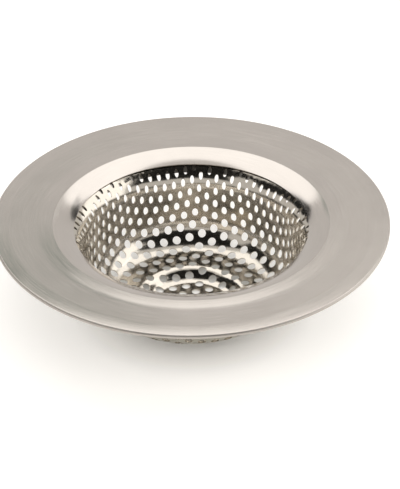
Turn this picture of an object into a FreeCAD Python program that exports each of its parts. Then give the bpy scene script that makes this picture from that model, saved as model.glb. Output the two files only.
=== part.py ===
"""Sink strainer: a perforated basket, clamped between a hemmed rim ring and a back ring.

Every piece is pressed from thin sheet, so each one starts as a bent line in the plane of the axis.
The line gets the thickness of its sheet and is turned once round +Z.
The holes are laid out on the flat blank and carried to where the press takes them.
Lengths are in millimetres and angles in degrees. The strainer stands on z = 0.
"""

import bisect
import math
import os

import FreeCAD
import Part

Vector = FreeCAD.Vector
AXIS = Vector(0, 0, 1)

# Overall sizes
rim_diameter = 114.3
strainer_height = 29.4

# Sheets and the gap between clamped ones
rim_sheet = 0.4
basket_sheet = 0.4
back_sheet = 0.3
seam_gap = 0.05

# Rim ring: a low bead round the throat, a throat that curves down inward, and a hem at the outer edge
crest_radius = 39.85
crest_bend = 1.5
bead_rise = 0.2
bead_width = 4.2
bead_bend = 20.0
throat_slope = 10.0
throat_length = 3.35
lip_angle = 30.0
lip_bend = 18.0
throat_lip = 0.13
hem_width = 2.4

# Basket: a sunken well, a ledge round it, a rounded foot, a tapered wall, a flare and a clamped flange
well_drop = 2.8
riser_radius = 13.6
riser_angle = 48.5
riser_bend = 4.0
foot_radius = 28.45
foot_bend = 10.0
wall_angle = 83.0
flare_bend = 8.0
flare_slope = 19.0
clamped_width = 5.4

# Holes: a triangular pattern of round holes in the flat blank
hole_diameter = 2.5
hole_pitch = 4.0
row_angle = 15.6
pattern_x = -0.85
pattern_y = -1.21
last_hole_height = 26.4

# Back ring: a collar outside the basket, a clamping face and a step up to the rim
collar_angle = 47.0
collar_lip = 0.15
step_clearance = 0.8
step_angle = 45.0
step_bend = 0.5

# How far each hole's cutter passes both faces of the sheet, and points that follow the basket's line
overrun = 0.3
line_points = 4000

rim_radius = rim_diameter / 2
hem_bend = rim_sheet + seam_gap + back_sheet / 2

# Upper faces of the three sheets where they lie flat, and how deep the back ring lies under the basket's
flange_face = strainer_height - bead_rise
outer_face = flange_face - rim_sheet - seam_gap
back_depth = basket_sheet + seam_gap
clamped_face = outer_face - back_depth


def reach(bend, angle):
    """Distance from a bend's corner to where its arc starts, for a turn of this angle."""
    return bend * math.tan(math.radians(angle) / 2)


# Inner faces of the basket's floor, and where the floor starts to turn up
well_face = basket_sheet
ledge_face = well_face + well_drop
floor_radius = foot_radius - reach(foot_bend, wall_angle)


def at(radius, height):
    """A point in the plane of the axis."""
    return Vector(radius, 0, height)


def slope(angle, length):
    """A step of this length that rises outward at this angle."""
    return at(length * math.cos(math.radians(angle)), length * math.sin(math.radians(angle)))


def meeting(first, first_angle, second, second_angle):
    """The point where the lines through two points, which rise outward at these angles, meet."""
    first_rise = math.tan(math.radians(first_angle))
    second_rise = math.tan(math.radians(second_angle))
    between = second - first
    run = (between.z - between.x * second_rise) / (first_rise - second_rise)
    return first + at(run, run * first_rise)


def under(corner, angle_before, angle_after, depth):
    """The corner of the line that lies this deep under a line with a corner between these angles."""
    middle = math.radians(angle_before + angle_after) / 2
    half_turn = math.radians(angle_before - angle_after) / 2
    return corner + at(math.sin(middle), -math.cos(middle)) * (depth / math.cos(half_turn))


# Corners of the basket round its wall: the foot, the crease of its flange, and the neck where the wall flares
foot = at(foot_radius, ledge_face)
crease = at(crest_radius, outer_face)
neck = meeting(foot, wall_angle, crease, flare_slope)


def bent_line(start, corners, end):
    """A wire from start to end, turned at each (corner, bend) by an arc of that radius."""
    points = [start] + [corner for corner, bend in corners] + [end]
    edges = []
    last = start
    for before, (corner, bend), after in zip(points, corners, points[2:]):
        back = (before - corner).normalize()
        ahead = (after - corner).normalize()
        half = back.getAngle(ahead) / 2
        inward = (back + ahead).normalize()
        arc_start = corner + back * (bend / math.tan(half))
        arc_end = corner + ahead * (bend / math.tan(half))
        arc_middle = corner + inward * (bend / math.sin(half) - bend)
        if not last.isEqual(arc_start, Part.Precision.confusion()):
            edges.append(Part.makeLine(last, arc_start))
        edges.append(Part.Arc(arc_start, arc_middle, arc_end).toShape())
        last = arc_end
    edges.append(Part.makeLine(last, end))
    return Part.Wire(edges)


def turned_sheet(line, thickness):
    """The sheet under a line that runs outward, turned round the axis."""
    section = line.makeOffset2D(-thickness, fill=True, openResult=True)
    return section.revolve(Vector(), AXIS, 360)


def rim_ring():
    """Curved throat, bead, flange and the hem that folds round the edge of the back ring."""
    crest = at(crest_radius, strainer_height)
    throat = crest - slope(throat_slope, throat_length)
    lip = throat - slope(lip_angle, reach(lip_bend, lip_angle - throat_slope) + throat_lip)
    hem_face = flange_face - 2 * hem_bend
    hem_end = at(rim_radius - hem_bend - hem_width, hem_face)
    corners = [
        (throat, lip_bend),
        (crest, crest_bend),
        (at(crest_radius + bead_width, flange_face), bead_bend),
        (at(rim_radius, flange_face), hem_bend),
        (at(rim_radius, hem_face), hem_bend),
    ]
    return turned_sheet(bent_line(lip, corners, hem_end), rim_sheet)


def back_ring():
    """Collar that follows the basket's flare, clamping face, and a step up to lie against the rim."""
    collar_bend = flare_bend - back_depth
    flare_end = under(neck, wall_angle, flare_slope, back_depth)
    flare_end += slope(flare_slope, reach(collar_bend, wall_angle - flare_slope))
    collar_reach = reach(collar_bend, collar_angle - flare_slope)
    collar = flare_end - slope(flare_slope, collar_reach)
    collar_end = collar - slope(collar_angle, collar_reach + collar_lip)
    step_start = at(crest_radius + clamped_width + step_clearance, clamped_face)
    step_run = back_depth / math.tan(math.radians(step_angle))
    corners = [
        (collar, collar_bend),
        (under(crease, flare_slope, 0, back_depth), crest_bend - back_depth),
        (step_start, step_bend),
        (step_start + at(step_run, back_depth), step_bend),
    ]
    edge = at(rim_radius - hem_bend - seam_gap, outer_face)
    return turned_sheet(bent_line(collar_end, corners, edge), back_sheet)


def basket_line():
    """The basket's inner face, from the middle of the well to the edge of the clamped flange."""
    riser_run = well_drop / math.tan(math.radians(riser_angle))
    corners = [
        (at(riser_radius - riser_run / 2, well_face), riser_bend),
        (at(riser_radius + riser_run / 2, ledge_face), riser_bend),
        (foot, foot_bend),
        (neck, flare_bend),
        (crease, crest_bend),
    ]
    return bent_line(at(0, well_face), corners, at(crest_radius + clamped_width, outer_face))


def pressed_places(line):
    """Where the press takes each radius of the blank: rows of (blank radius, point on the inner face).

    The floor keeps its radii. From the foot on, the blank is drawn up by its own length along the line.
    """
    points = line.discretize(Number=line_points)
    rows = []
    drawn_length = 0
    for before, point in zip([points[0]] + points, points):
        if point.x > floor_radius:
            drawn_length += (point - before).Length
        rows.append((min(point.x, floor_radius) + drawn_length, point))
    return rows


def hole_cutter(x, y, places, radii):
    """A plug for the hole at this place of the blank, upright on the pressed sheet.

    The press narrows a hole across the wall by the square of how far the ring at its radius shrinks.
    """
    blank_radius = math.hypot(x, y)
    place = bisect.bisect(radii, blank_radius)
    inner, outer = places[place - 1][1], places[place][1]
    tilt = math.degrees(math.atan2(outer.z - inner.z, outer.x - inner.x))
    half_length = hole_diameter / 2
    half_width = half_length * (outer.x / radii[place]) ** 2
    outline = Part.Circle(Vector(), AXIS, half_length)
    if half_width < half_length:
        outline = Part.Ellipse(Vector(), half_length, half_width)
    plug = Part.Face(Part.Wire(outline.toShape())).extrude(Vector(0, 0, basket_sheet + 2 * overrun))
    plug.translate(Vector(0, 0, -basket_sheet - overrun))
    plug.rotate(Vector(), Vector(0, 1, 0), -tilt)
    plug.translate(outer)
    plug.rotate(Vector(), AXIS, math.degrees(math.atan2(y, x)))
    return plug


def hole_places(blank_radius):
    """Centres of the holes within this radius of the blank."""
    row_step = hole_pitch * math.sin(math.radians(60))
    count = math.ceil((blank_radius + hole_pitch) / row_step)
    turn = FreeCAD.Rotation(AXIS, row_angle)
    for row in range(-count, count + 1):
        for column in range(-count, count + 1):
            shift = (column + (row % 2) / 2) * hole_pitch
            centre = Vector(pattern_x, pattern_y, 0) + turn.multVec(Vector(shift, row * row_step, 0))
            if centre.Length < blank_radius:
                yield centre.x, centre.y


def basket():
    """The pressed cup with its holes, which run up behind the throat."""
    line = basket_line()
    places = pressed_places(line)
    radii = [radius for radius, point in places]
    last_hole = bisect.bisect([point.z for radius, point in places], last_hole_height)
    cutters = [hole_cutter(x, y, places, radii) for x, y in hole_places(radii[last_hole])]
    return turned_sheet(line, basket_sheet).cut(cutters)


os.makedirs("parts", exist_ok=True)
for name, piece in (("rim_ring", rim_ring()), ("back_ring", back_ring()), ("basket", basket())):
    solid = piece.Solids[0]
    solid.exportStep(f"parts/{name}.step")
    state = "valid" if solid.isValid() else "not valid"
    print(name, state, round(solid.Volume), "mm3", len(solid.Faces), "faces")
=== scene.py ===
# %% [markdown]
# # A perforated sink strainer
# The strainer is pressed from three thin sheets of stainless steel. A wide rim ring lies on the sink,
# a cup full of holes hangs in the drain, and a back ring under the rim clamps the edge of the cup.
# This lesson makes the two sheets that show the way a press shop would: draw a line, bend it, turn it,
# punch it. The back ring is hardly seen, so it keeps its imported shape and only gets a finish.
#
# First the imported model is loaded. It is the fixed frame: every piece made here goes where it says.

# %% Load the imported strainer
import bisect
import math

import bmesh
import bpy
from mathutils import Matrix, Vector, noise


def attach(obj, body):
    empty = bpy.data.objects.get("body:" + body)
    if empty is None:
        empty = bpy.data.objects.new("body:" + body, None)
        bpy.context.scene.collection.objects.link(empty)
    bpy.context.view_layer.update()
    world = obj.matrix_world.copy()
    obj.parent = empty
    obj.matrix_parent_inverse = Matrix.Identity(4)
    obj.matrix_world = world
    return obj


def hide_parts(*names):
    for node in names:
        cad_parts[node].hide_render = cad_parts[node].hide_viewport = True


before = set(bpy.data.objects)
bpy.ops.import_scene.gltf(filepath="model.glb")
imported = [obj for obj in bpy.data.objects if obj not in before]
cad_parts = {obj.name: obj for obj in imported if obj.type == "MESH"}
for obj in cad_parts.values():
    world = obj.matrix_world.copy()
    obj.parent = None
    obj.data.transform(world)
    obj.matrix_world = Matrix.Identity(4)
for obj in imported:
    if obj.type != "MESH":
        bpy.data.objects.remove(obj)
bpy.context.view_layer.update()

print("nodes:", sorted(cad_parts))

# %% [markdown]
# Blender works in metres, and a press shop in millimetres. The sheets are drawn in millimetres and
# scaled once at the end, so that their sizes can be read with a ruler in hand. The camera and the
# studio are in metres.

# %% Sizes that the sheets share, in millimetres
MM = 0.001
rim_radius = 57.15
rim_face = 29.4
flange_face = 29.2
sheet = 0.4
seam_gap = 0.05
crest_radius = 39.85
crest_bend = 1.5
print("rim", 2 * rim_radius, "mm wide,", rim_face, "mm above the floor")

# %% [markdown]
# The camera stands about an arm's length and a half away and looks down into the cup. A long lens
# keeps the ring an almost perfect ellipse. Its three axes are written out and put in one matrix,
# because that is easier to check than three turns one after another.

# %% Camera
camera_distance = 1.2
camera_rise = math.radians(33.55)
camera_pitch = math.radians(33.87)
camera_yaw = math.radians(0.14)
camera_roll = math.radians(-0.54)
lens_length = 307.4
sensor_width = 36
farthest_view = 50

ahead = Vector((
    math.sin(camera_yaw) * math.cos(camera_pitch),
    math.cos(camera_yaw) * math.cos(camera_pitch),
    -math.sin(camera_pitch),
))
level = Vector((math.cos(camera_yaw), -math.sin(camera_yaw), 0))
upward = level.cross(ahead)
right = level * math.cos(camera_roll) + upward * math.sin(camera_roll)
top = upward * math.cos(camera_roll) - level * math.sin(camera_roll)
stand = Vector((0, -math.cos(camera_rise), math.sin(camera_rise))) * camera_distance
stand.z += rim_face * MM

camera = bpy.data.objects.new("camera", bpy.data.cameras.new("camera"))
camera.data.lens = lens_length
camera.data.sensor_width = sensor_width
camera.data.clip_end = farthest_view
facing = Matrix((right, top, -ahead)).transposed()
camera.matrix_world = Matrix.Translation(stand) @ facing.to_4x4()
bpy.context.scene.collection.objects.link(camera)
bpy.context.scene.camera = camera
bpy.context.scene.view_settings.view_transform = "Standard"
print("camera at", [round(value, 3) for value in stand])

# %% [markdown]
# Shader trees repeat one gesture: make a node, set its values, plug other nodes into it. This helper
# does that in one line, so a material below reads like a recipe.

# %% Helpers for nodes and objects
def add(tree, kind, inputs=None, **settings):
    """Add a node, set its properties, then give each named input a value or a link."""
    node = tree.nodes.new(kind)
    for name, value in settings.items():
        setattr(node, name, value)
    for name, value in (inputs or {}).items():
        if isinstance(value, bpy.types.NodeSocket):
            tree.links.new(value, node.inputs[name])
        else:
            node.inputs[name].default_value = value
    return node


def calc(tree, operation, first, second=0.0):
    """A Math node's result."""
    return add(tree, "ShaderNodeMath", {0: first, 1: second}, operation=operation).outputs[0]


def new_tree(owner):
    """An empty node tree for a material or world."""
    owner.use_nodes = True
    owner.node_tree.nodes.clear()
    return owner.node_tree


def to_object(shape, name):
    """Turn a finished bmesh into an object at the origin."""
    mesh = bpy.data.meshes.new(name)
    shape.to_mesh(mesh)
    shape.free()
    piece = bpy.data.objects.new(name, mesh)
    bpy.context.scene.collection.objects.link(piece)
    return piece


# %% [markdown]
# The floor is matt and pale. Lamps that make it pure white would put too much light on the strainer,
# so it also glows a little where a ray from the camera, or one off the steel, meets it. The glow
# fades away under the strainer, where the floor is shaded and shows through the holes: this fade is
# painted shade.

# %% Floor
floor_width = 8.0
floor_drop = 0.00005
floor_colour = (0.8, 0.785, 0.755, 1)
glow_colour = (1, 1, 1, 1)
floor_glow = 0.31
# Painted shade: the floor has no glow up to glow_start from the axis, and the glow grows to full at
# glow_full.
glow_start = 0.019
glow_full = 0.036
lying = Matrix.Identity(3)


def stage_plane(name, width, depth, place, turn, material):
    """A flat sheet of the studio, which isn't part of the strainer."""
    shape = bmesh.new()
    bmesh.ops.create_grid(shape, x_segments=1, y_segments=1, size=0.5)
    bmesh.ops.scale(shape, vec=(width, depth, 1), verts=shape.verts)
    bmesh.ops.rotate(shape, cent=(0, 0, 0), matrix=turn, verts=shape.verts)
    bmesh.ops.translate(shape, vec=place, verts=shape.verts)
    plane = to_object(shape, name)
    plane.data.materials.append(material)
    return plane


floor_paint = bpy.data.materials.new("floor_paint")
tree = new_tree(floor_paint)
path = add(tree, "ShaderNodeLightPath")
seen = calc(tree, "MAXIMUM", path.outputs["Is Camera Ray"], path.outputs["Is Glossy Ray"])
seen = calc(tree, "MAXIMUM", seen, path.outputs["Is Transmission Ray"])
spot = add(tree, "ShaderNodeTexCoord")
away = add(tree, "ShaderNodeVectorMath", {0: spot.outputs["Object"]}, operation="LENGTH")
# Painted shade: the glow fades out near the axis, so the floor under the strainer is darker.
fade = add(tree, "ShaderNodeMapRange", {
    "Value": away.outputs["Value"], "From Min": glow_start, "From Max": glow_full, "To Max": floor_glow})
strength = calc(tree, "MULTIPLY", seen, fade.outputs[0])
glow = add(tree, "ShaderNodeEmission", {"Color": glow_colour, "Strength": strength})
paint = add(tree, "ShaderNodeBsdfDiffuse", {"Color": floor_colour})
both = add(tree, "ShaderNodeAddShader", {0: paint.outputs[0], 1: glow.outputs[0]})
add(tree, "ShaderNodeOutputMaterial", {"Surface": both.outputs[0]})
stage_plane("floor", floor_width, floor_width, (0, 0, -floor_drop), lying, floor_paint)
print("floor", floor_width, "m wide, in full glow from", glow_full, "m off the axis")

# %% [markdown]
# The light is soft and plain. A pale room surrounds the strainer, one soft light hangs behind it, and
# another stands at the right. The third, in front, fills the shadow on the floor. It is hidden from
# reflections, because a bright patch there would cover the dark bands in the cup.

# %% World and lights
room_colour = (0.77, 0.755, 0.74, 1)
backdrop_colour = (1, 1, 1, 1)

world = bpy.data.worlds.new("studio")
bpy.context.scene.world = world
tree = new_tree(world)
path = add(tree, "ShaderNodeLightPath")
room = add(tree, "ShaderNodeBackground", {"Color": room_colour, "Strength": 1.0})
backdrop = add(tree, "ShaderNodeBackground", {"Color": backdrop_colour, "Strength": 1.0})
mix = add(tree, "ShaderNodeMixShader", {
    0: path.outputs["Is Camera Ray"], 1: room.outputs[0], 2: backdrop.outputs[0]})
add(tree, "ShaderNodeOutputWorld", {"Surface": mix.outputs[0]})


def softbox(name, place, aim, width, height, power):
    """A rectangular soft light that faces a point."""
    lamp = bpy.data.lights.new(name, "AREA")
    lamp.shape = "RECTANGLE"
    lamp.size = width
    lamp.size_y = height
    lamp.energy = power
    light = bpy.data.objects.new(name, lamp)
    facing = (Vector(aim) - Vector(place)).to_track_quat("-Z", "Y").to_matrix().to_4x4()
    light.matrix_world = Matrix.Translation(place) @ facing
    bpy.context.scene.collection.objects.link(light)
    return light


softbox("back_light", place=(0.0, 0.99, 1.5), aim=(0, 0.99, 0), width=2.4, height=1.55, power=10.8)
softbox("side_light", place=(1.8, 0.42, 1.3), aim=(0, 0.42, 1.3), width=2.15, height=2.1, power=14.6)
front_light = softbox(
    "front_light", place=(0.1, -1.1, 1.3), aim=(0, 0, 0), width=3.2, height=0.7, power=16.0)
front_light.visible_glossy = False
print("lights:", sorted(lamp.name for lamp in bpy.data.lights))

# %% [markdown]
# Polished steel shows the room more than its own colour, so the room needs dark places too.
# Photographers hang black cloths, called flags, and grey or white cards round such an object. These
# are seen only in reflections: they are kept out of the camera's own sight, cast no shadow and take
# no light from the floor.

# %% Flags and cards
upright = math.radians(90)
slant = math.radians(43)
standing = Matrix.Rotation(upright, 3, "X")
sideways = Matrix.Rotation(upright, 3, "Y")
slanted = Matrix.Rotation(slant, 3, "Z") @ standing


def matt(name, colour):
    """A matt studio colour for a card or a cloth."""
    material = bpy.data.materials.new(name)
    tree = new_tree(material)
    paint = add(tree, "ShaderNodeBsdfDiffuse", {"Color": colour})
    add(tree, "ShaderNodeOutputMaterial", {"Surface": paint.outputs[0]})
    return material


flag_cloth = matt("flag_cloth", (0.02, 0.02, 0.02, 1))
grey_paint = matt("grey_paint", (0.40, 0.44, 0.42, 1))
white_paint = matt("white_paint", (0.8, 0.8, 0.8, 1))

# Each row: name, width, depth, middle, turn and finish
cards = (
    ("camera_flag", 2.6, 1.0, (-0.3, -1.7, 1.4), standing, flag_cloth),
    ("ceiling_flag", 3.3, 1.7, (0.05, -0.95, 1.9), lying, flag_cloth),
    ("left_flag", 1.3, 3.2, (-1.6, 1.1, 1.45), sideways, flag_cloth),
    ("right_flag", 0.4, 1.0, (1.34, 1.99, 1.6), standing, flag_cloth),
    ("front_flag", 1.45, 1.1, (1.25, -1.35, 1.45), slanted, flag_cloth),
    ("grey_card", 0.46, 0.22, (-0.27, 2.0, 1.5), standing, grey_paint),
    ("white_card", 0.5, 0.22, (0.31, 2.0, 1.49), standing, white_paint),
)
for row in cards:
    card = stage_plane(*row)
    card.visible_camera = False
    card.visible_diffuse = False
    card.visible_shadow = False
print(len(cards), "flags and cards")

# %% [markdown]
# Each sheet starts as a line in the plane of the axis. A vertex is pulled straight on by extruding it
# and round a bend by spinning it, which gives true arcs, just as a folding machine does. The whole
# line is then spun once round the axis, and a Solidify modifier gives it the thickness of its sheet.

# %% Drawing a section
close_enough = 0.005


def slope(angle, length):
    """A step of this length that rises outward at this angle, as (radius, height)."""
    return Vector((math.cos(math.radians(angle)), math.sin(math.radians(angle)))) * length


def draw_section(start, corners, end, bend_step):
    """Draw a sheet's line: extrude its tip along each straight and spin it round each (corner, bend)."""
    section = bmesh.new()
    tip = section.verts.new((start.x, 0, start.y))

    def run_to(tip, point):
        target = Vector((point.x, 0, point.y))
        if (target - tip.co).length < close_enough:
            return tip
        ahead = bmesh.ops.extrude_vert_indiv(section, verts=[tip])["verts"][0]
        bmesh.ops.translate(section, verts=[ahead], vec=target - tip.co)
        return ahead

    points = [start] + [corner for corner, bend in corners] + [end]
    for before, (corner, bend), after in zip(points, corners, points[2:]):
        into = (corner - before).normalized()
        angle = -into.angle_signed((after - corner).normalized())
        arc_start = corner - into * bend * math.tan(abs(angle) / 2)
        centre = arc_start + Vector((-into.y, into.x)) * math.copysign(bend, angle)
        tip = run_to(tip, arc_start)
        arc = bmesh.ops.spin(
            section, geom=[tip], cent=(centre.x, 0, centre.y), axis=(0, -1, 0),
            angle=angle, steps=max(2, round(math.degrees(abs(angle)) / bend_step)))
        tip = [part for part in arc["geom_last"] if isinstance(part, bmesh.types.BMVert)][0]
    run_to(tip, end)
    return section


# %% Turning a section and giving it thickness
turn_steps = 256
turn_weld = 0.001


def turn_section(section):
    """Spin the line once round the axis and make its upper side the outside."""
    bmesh.ops.spin(
        section, geom=section.verts[:] + section.edges[:], cent=(0, 0, 0), axis=(0, 0, 1),
        angle=math.tau, steps=turn_steps, use_merge=True)
    bmesh.ops.remove_doubles(section, verts=section.verts, dist=turn_weld)
    bmesh.ops.recalc_face_normals(section, faces=section.faces)
    highest = max(section.faces, key=lambda face: face.calc_center_median().z)
    if highest.normal.z < 0:
        bmesh.ops.reverse_faces(section, faces=section.faces)


def finish_sheet(shape, name, thickness):
    """Scale to metres, keep the sheared edges sharp, and give the sheet its thickness below."""
    bmesh.ops.scale(shape, vec=(MM, MM, MM), verts=shape.verts)
    for face in shape.faces:
        face.smooth = True
    for edge in shape.edges:
        edge.smooth = not edge.is_boundary
    piece = to_object(shape, name)
    thicken = piece.modifiers.new("thickness", "SOLIDIFY")
    thicken.thickness = thickness * MM
    thicken.offset = -1
    thicken.use_even_offset = True
    return piece


# %% [markdown]
# The rim ring: the line curves up out of the throat, turns over the crest, runs out through a slight
# trough and swell, which show only in how the flange catches the light, and folds back under itself
# in a hem, so that no sheared edge meets the hand.

# %% Rim ring
throat_slope = 10.0
throat_length = 3.35
lip_angle = 30.0
lip_bend = 18.0
lip_length = 3.2
trough = Vector((44.2, 29.15))
swell = Vector((52.5, 29.3))
soft_bend = 30.0
hem_bend = 0.6
hem_width = 2.4
rim_bend_step = 5.0

crest = Vector((crest_radius, rim_face))
lip_corner = crest - slope(throat_slope, throat_length)
lip_end = lip_corner - slope(lip_angle, lip_length)
hem_face = flange_face - 2 * hem_bend
hem_end = Vector((rim_radius - hem_bend - hem_width, hem_face))
rim_corners = [
    (lip_corner, lip_bend),
    (crest, crest_bend),
    (trough, soft_bend),
    (swell, soft_bend),
    (Vector((rim_radius, flange_face)), hem_bend),
    (Vector((rim_radius, hem_face)), hem_bend),
]
rim_section = draw_section(lip_end, rim_corners, hem_end, rim_bend_step)
turn_section(rim_section)
rim_ring = finish_sheet(rim_section, "rim_ring_pressed", sheet)
print("rim ring:", len(rim_ring.data.polygons), "faces before thickness; lip at", lip_end)

# %% [markdown]
# The cup. Its holes are punched while the sheet is still a flat blank, then the press draws the blank
# down. The floor keeps its round holes; on the wall, where the circle of the blank shrinks, they
# become upright ovals. So the mesh is made flat too: one six-sided cell with a hole, copied over the
# blank, and every vertex is then moved to where the press takes it.

# %% Section of the cup
well_drop = 2.8
riser_radius = 13.6
riser_angle = 48.5
riser_bend = 4.0
foot_radius = 28.45
foot_bend = 9.0
wall_angle = 83.0
flare_bend = 8.0
flare_slope = 19.0
clamped_width = 5.4
cup_bend_step = 1.0

cup_top = flange_face - sheet - seam_gap
well_face = sheet
ledge_face = well_face + well_drop
riser_half = well_drop / math.tan(math.radians(riser_angle)) / 2
foot = Vector((foot_radius, ledge_face))
floor_radius = foot_radius - foot_bend * math.tan(math.radians(wall_angle) / 2)
crease = Vector((crest_radius, cup_top))


def meeting(first, first_angle, second, second_angle):
    """Where two lines of a section meet, each given by a point and a slope."""
    way, other = slope(first_angle, 1), slope(second_angle, 1)
    along = (second - first).cross(other) / way.cross(other)
    return first + way * along


neck = meeting(foot, wall_angle, crease, flare_slope)
cup_corners = [
    (Vector((riser_radius - riser_half, well_face)), riser_bend),
    (Vector((riser_radius + riser_half, ledge_face)), riser_bend),
    (foot, foot_bend),
    (neck, flare_bend),
    (crease, crest_bend),
]
cup_section = draw_section(
    Vector((0, well_face)), cup_corners, crease + slope(0, clamped_width), cup_bend_step)
cup_line = [Vector((vertex.co.x, vertex.co.z)) for vertex in cup_section.verts]
cup_section.free()
print("cup edge at", [round(value, 2) for value in cup_line[-1]])

# %% [markdown]
# What the press does: the floor keeps its radii, and from the foot on the blank is drawn up by its own
# length along the line. One list of blank radii, beside the points of the line, says where each goes.

# %% Pressing
blank_radii = [0.0]
for before, after in zip(cup_line, cup_line[1:]):
    on_floor = after.x <= floor_radius + close_enough
    step = after.x - before.x if on_floor else (after - before).length
    blank_radii.append(blank_radii[-1] + step)
edge_radius = blank_radii[-1]
print("blank radius", round(edge_radius, 2), "mm")


def pressed(blank_radius):
    """(radius, height) that the press gives a radius of the blank, and how far it stretches there."""
    place = min(bisect.bisect(blank_radii, blank_radius), len(blank_radii) - 1)
    low, high = blank_radii[place - 1], blank_radii[place]
    before, after = cup_line[place - 1], cup_line[place]
    point = before.lerp(after, (blank_radius - low) / (high - low))
    return point, (after - before).length / (high - low)


# %% One punched cell and one plain cell
hole_radius = 1.25
hole_pitch = 4.0
hole_sides = 24
cell_sides = 6
row_angle = math.radians(15.6)


def cell_mesh(name, punched):
    """A six-sided cell of the blank, with a ring of faces round its hole or a fan of them without one."""
    cell = bmesh.new()
    bmesh.ops.create_circle(cell, segments=cell_sides, radius=hole_pitch / math.sqrt(3))
    bmesh.ops.subdivide_edges(cell, edges=cell.edges[:], cuts=hole_sides // cell_sides - 1)
    border = cell.edges[:]
    if punched:
        bmesh.ops.create_circle(cell, segments=hole_sides, radius=hole_radius)
        rims = border + [edge for edge in cell.edges if edge not in border]
        bridge = bmesh.ops.bridge_loops(cell, edges=rims)
        bmesh.ops.subdivide_edges(cell, edges=bridge["edges"], cuts=1)
    else:
        flat = bmesh.ops.contextual_create(cell, geom=border)["faces"]
        bmesh.ops.poke(cell, faces=flat)
    if sum(face.normal.z for face in cell.faces) < 0:
        bmesh.ops.reverse_faces(cell, faces=cell.faces)
    row_turn = Matrix.Rotation(row_angle, 3, "Z")
    bmesh.ops.rotate(cell, cent=(0, 0, 0), matrix=row_turn, verts=cell.verts)
    mesh = bpy.data.meshes.new(name)
    cell.to_mesh(mesh)
    cell.free()
    return mesh


punched_cell = cell_mesh("punched_cell", True)
plain_cell = cell_mesh("plain_cell", False)
print("punched cell:", len(punched_cell.polygons), "faces, plain cell:", len(plain_cell.polygons))

# %% The blank, cell by cell
pattern_middle = Vector((-0.85, -1.21))
last_hole_height = 26.4
collar_share = 0.6
cell_weld = 0.02
last_hole = blank_radii[bisect.bisect([point.y for point in cup_line], last_hole_height)]


def cell_centres(limit):
    """Centres of the cells on the blank, row by row."""
    row_step = hole_pitch * math.sin(math.radians(60))
    count = math.ceil(limit / row_step) + 1
    turn = Matrix.Rotation(row_angle, 2)
    for row in range(-count, count + 1):
        for column in range(-count, count + 1):
            shift = Vector(((column + row % 2 / 2) * hole_pitch, row * row_step))
            centre = turn @ shift + pattern_middle
            if centre.length < limit:
                yield centre


def place_cell(blank, mesh, centre, punched):
    """Copy a cell to its place. A hole is drawn narrower where the press will stretch it."""
    count = len(blank.verts)
    blank.from_mesh(mesh)
    blank.verts.ensure_lookup_table()
    outward = centre.normalized()
    point, stretch = pressed(centre.length)
    across = point.x / centre.length
    for vertex in blank.verts[count:]:
        offset = vertex.co.xy
        if punched:
            fullness = max(0.0, 1 - (offset.length - hole_radius) / (collar_share * hole_radius))
            along = outward * offset.dot(outward)
            aside = offset - along
            offset = along * (1 + fullness * (1 / stretch - 1)) + aside * (1 + fullness * (across - 1))
        vertex.co.xy = centre + offset


blank = bmesh.new()
holes = 0
for centre in cell_centres(edge_radius + hole_pitch):
    punched = centre.length < last_hole
    holes += punched
    place_cell(blank, punched_cell if punched else plain_cell, centre, punched)
bmesh.ops.remove_doubles(blank, verts=blank.verts, dist=cell_weld)
print(holes, "holes,", len(blank.faces), "faces in the blank")

# %% [markdown]
# The blank is trimmed to a circle and pressed. A drawn wall is never quite even, and polished steel
# makes the least waviness visible, so the wall is pushed in and out with a slow noise,
# by less than a tenth of a millimetre. The flat floor stays as it is.

# %% Trim the blank to a circle and press it
wave_depth = 0.08
wave_length = 9.0

waste = [face for face in blank.faces if face.calc_center_median().xy.length > edge_radius]
bmesh.ops.delete(blank, geom=waste, context="FACES")
for vertex in blank.verts:
    distance = vertex.co.xy.length
    outer = vertex.is_boundary and distance > edge_radius - hole_pitch / 2
    point, stretch = pressed(edge_radius if outer else min(distance, edge_radius))
    vertex.co.xy = vertex.co.xy * (point.x / distance if distance else 0)
    vertex.co.z = point.y
blank.normal_update()
for vertex in blank.verts:
    drawn = min(1.0, max(0.0, (vertex.co.z - ledge_face) / foot_bend))
    vertex.co += vertex.normal * wave_depth * drawn * noise.noise(vertex.co / wave_length)
basket = finish_sheet(blank, "basket_pressed", sheet)
print("basket:", len(basket.data.polygons), "faces before thickness")

# %% [markdown]
# Finishes. The rim is brushed round and round on a lathe, so its scratches follow circles. A group of
# nodes gives that pattern once: the direction from the axis and the distance from it go into a noise,
# stretched so that each streak is long round the ring and thin across it. The group also gives broad
# patches and a mask for the rolled outer edge, where the brush doesn't reach. The mask makes that edge
# rougher, and it also paints the edge darker, as painted shade.

# %% Ring brushing group
usual_lines = 2500
streak_spread = 5.0
climb_share = 1.3
patch_scale = 70.0
edge_width = 0.6
full_edge_width = 0.3

brushing = bpy.data.node_groups.new("ring_brushing", "ShaderNodeTree")
sockets = brushing.interface
sockets.new_socket("Vector", in_out="INPUT", socket_type="NodeSocketVector")
fineness = sockets.new_socket("Lines per metre", in_out="INPUT", socket_type="NodeSocketFloat")
fineness.default_value = usual_lines
for output in ("Streaks", "Patches", "Rolled edge"):
    sockets.new_socket(output, in_out="OUTPUT", socket_type="NodeSocketFloat")


def vector_math(operation, first, inputs, output):
    """A result of a Vector Math node in the brushing group."""
    node = add(brushing, "ShaderNodeVectorMath", {0: first, **inputs}, operation=operation)
    return node.outputs[output]


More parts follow.
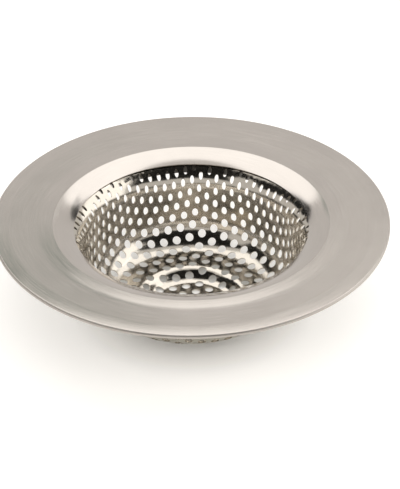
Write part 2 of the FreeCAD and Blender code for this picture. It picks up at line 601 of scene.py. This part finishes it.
given = add(brushing, "NodeGroupInput")
parts = add(brushing, "ShaderNodeSeparateXYZ", {0: given.outputs["Vector"]})
flat = add(brushing, "ShaderNodeCombineXYZ", {"X": parts.outputs["X"], "Y": parts.outputs["Y"]}).outputs[0]
away = vector_math("LENGTH", flat, {}, "Value")
direction = vector_math("NORMALIZE", flat, {}, "Vector")
spread = vector_math("SCALE", direction, {"Scale": streak_spread}, "Vector")
climb = calc(brushing, "MULTIPLY", parts.outputs["Z"], climb_share)
line = calc(brushing, "MULTIPLY", calc(brushing, "ADD", away, climb), given.outputs["Lines per metre"])
lift = add(brushing, "ShaderNodeCombineXYZ", {"Z": line}).outputs[0]
where = vector_math("ADD", spread, {1: lift}, "Vector")
streaks = add(brushing, "ShaderNodeTexNoise", {
    "Vector": where, "Scale": 1.0, "Detail": 3.0, "Roughness": 0.6})
patches = add(brushing, "ShaderNodeTexNoise", {
    "Vector": given.outputs["Vector"], "Scale": patch_scale, "Detail": 2.0})
edge = add(brushing, "ShaderNodeMapRange", {
    "Value": away,
    "From Min": (rim_radius - edge_width) * MM,
    "From Max": (rim_radius - full_edge_width) * MM,
})
add(brushing, "NodeGroupOutput", {
    "Streaks": streaks.outputs["Fac"],
    "Patches": patches.outputs["Fac"],
    "Rolled edge": edge.outputs[0],
})
print("ring brushing:", len(brushing.nodes), "nodes")

# %% [markdown]
# Four finishes share the group: satin on the rim, bright inside the cup, dull outside it, where the
# sheet slid through the die, and plain on the back ring. The outside is also painted darker than the
# inside, as painted shade under the rim. The noise makes each one vary a little in tint and roughness,
# and its streaks also feed a fine bump.

# %% Steel finishes
noise_low = 0.3
noise_high = 0.7
patch_tints = (0.96, 1.02)
streak_tints = (0.97, 1.02)
edge_roughness = 0.4
# Painted shade: the colour at the rolled outer edge of the rim is made darker by this much.
painted_edge_shade = 0.15


def spread_noise(tree, value, low, high):
    """Bring the usual range of a noise to the range from low to high."""
    node = add(tree, "ShaderNodeMapRange", {
        "Value": value, "From Min": noise_low, "From Max": noise_high, "To Min": low, "To Max": high})
    return node.outputs[0]


def steel(name, colour, dull, spread, lines, depth, grain):
    """A stainless finish: colour, roughness and its spread, lines per metre, their depth, and grain."""
    material = bpy.data.materials.new(name)
    tree = new_tree(material)
    place = add(tree, "ShaderNodeTexCoord")
    brush = add(tree, "ShaderNodeGroup", {
        "Vector": place.outputs["Object"], "Lines per metre": lines}, node_tree=brushing)
    streaks, rolled = brush.outputs["Streaks"], brush.outputs["Rolled edge"]
    rough = spread_noise(tree, streaks, dull - spread, dull + spread)
    rough = calc(tree, "ADD", rough, calc(tree, "MULTIPLY", rolled, edge_roughness))
    shade = spread_noise(tree, brush.outputs["Patches"], *patch_tints)
    lined = spread_noise(tree, streaks, *streak_tints)
    tone_and_painted_shade = calc(tree, "MULTIPLY", shade, lined)
    # Painted shade: the rolled edge mask darkens the colour at the rim's outer edge. The patches and
    # streaks before it are the steel's own tone.
    tone_and_painted_shade = calc(tree, "SUBTRACT", tone_and_painted_shade, calc(tree, "MULTIPLY", rolled, painted_edge_shade))
    tint = add(tree, "ShaderNodeVectorMath", {0: colour, "Scale": tone_and_painted_shade}, operation="SCALE")
    bump = add(tree, "ShaderNodeBump", {"Height": streaks, "Strength": 1.0, "Distance": depth * MM})
    surface = add(tree, "ShaderNodeBsdfPrincipled", {
        "Base Color": tint.outputs[0], "Metallic": 1.0, "Roughness": rough,
        "Anisotropic": grain, "Anisotropic Rotation": 0.25, "Normal": bump.outputs[0]})
    add(tree, "ShaderNodeOutputMaterial", {"Surface": surface.outputs[0]})
    return material


satin_steel = steel(
    "satin_steel", (0.60, 0.555, 0.51), dull=0.14, spread=0.03, lines=2500, depth=0.002, grain=0.4)
bright_steel = steel(
    "bright_steel", (0.60, 0.555, 0.485), dull=0.14, spread=0.03, lines=900, depth=0.004, grain=0.0)
# Painted shade: the outside of the cup has a darker colour than the inside, for the shade under the rim.
# Its higher roughness is real.
dull_steel_painted_shade = steel(
    "dull_steel_painted_shade", (0.43, 0.41, 0.35), dull=0.28, spread=0.05, lines=900, depth=0.004, grain=0.0)
plain_steel = steel(
    "plain_steel", (0.55, 0.515, 0.47), dull=0.36, spread=0.05, lines=1200, depth=0.004, grain=0.0)
print("finishes:", [finish.name for finish in (satin_steel, bright_steel, dull_steel_painted_shade, plain_steel)])

# %% [markdown]
# The cup has two finishes on one sheet: Solidify gives the faces that it makes the next material in
# the list, so the outside is dull and painted darker, as painted shade. The back ring is a imported piece,
# and only its material changes.

# %% Finishes on the sheets
rim_ring.data.materials.append(satin_steel)
basket.data.materials.append(bright_steel)
basket.data.materials.append(dull_steel_painted_shade)
basket.modifiers["thickness"].material_offset = 1
back_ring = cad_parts["back_ring"]
back_ring.data.materials.clear()
back_ring.data.materials.append(plain_steel)
for piece in (rim_ring, basket, back_ring):
    print(piece.name, "in", [material.name for material in piece.data.materials])

# %% [markdown]
# Last, each new sheet, named for the CAD node that it stands for, is tied to the body it belongs to,
# and that CAD node is hidden.

# %% Hand over
for piece, node, slot in ((rim_ring, "rim_ring", "satin_steel"), (basket, "basket", "bright_steel")):
    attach(piece, "root")
    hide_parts(node)
